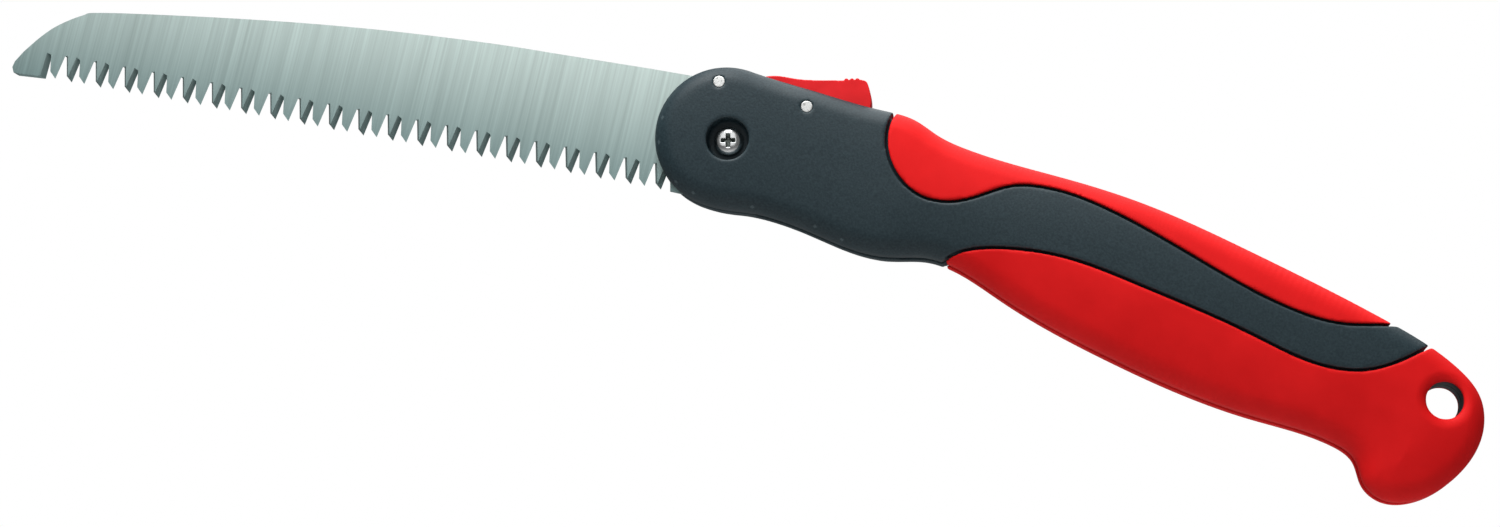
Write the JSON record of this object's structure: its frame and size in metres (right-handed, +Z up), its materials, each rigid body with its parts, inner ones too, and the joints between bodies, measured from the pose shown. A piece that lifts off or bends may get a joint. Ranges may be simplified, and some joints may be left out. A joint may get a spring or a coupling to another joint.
{
  "type": "folding pruning saw",
  "caption": "Folding pruning saw with a toothed steel blade that turns on a pivot into a two-shell handle, a thumb-lever lock, soft grips and a hanging hole.",
  "frame": {"origin": "centre of the hanging hole, on the parting plane of the two shells", "axes": "+X from the blade's tip towards the butt, +Z up, and the front with the pivot screw's head at -Y"},
  "size_m": [0.3977, 0.025, 0.1384],
  "materials": {
    "shell_plastic": "matte",
    "soft_grip": "matte",
    "lever_plastic": "satin",
    "blade_steel": "satin",
    "hardware_steel": "satin",
    "screw_chrome": "polished",
    "shell_screw_steel": "satin",
    "washer_nylon": "matte"
  },
  "bodies": {
    "handle": {"front_shell": "shell_plastic", "rear_shell": "shell_plastic", "front_upper_grip": "soft_grip", "front_lower_grip": "soft_grip", "rear_upper_grip": "soft_grip", "rear_lower_grip": "soft_grip", "lever_pin": "hardware_steel", "stop_pin": "hardware_steel", "pivot_screw": "screw_chrome", "pivot_sleeve": "hardware_steel", "pivot_nut": "screw_chrome", "lock_washer": "hardware_steel", "front_thrust_washer": "washer_nylon", "rear_thrust_washer": "washer_nylon", "lever_spring": "hardware_steel", "shell_screw_1": "shell_screw_steel", "shell_screw_2": "shell_screw_steel", "shell_screw_3": "shell_screw_steel"},
    "blade": {"blade": "blade_steel"},
    "lever": {"lock_lever": "lever_plastic", "lock_pawl": "hardware_steel"}
  },
  "joints": [
    {"name": "blade_fold", "type": "hinge", "parent": "handle", "child": "blade", "pos_m": [-0.18821, 0, 0.07225], "axis": [0, -1, 0], "range_deg": [0, 161]},
    {"name": "lever_press", "type": "hinge", "parent": "handle", "child": "lever", "pos_m": [-0.16684, 0, 0.08075], "axis": [0, 1, 0], "range_deg": [0, 7.5], "stiffness_Nm_per_rad": 0.5, "springref_deg": -5.73, "deforming": ["lever_spring"]}
  ]
}
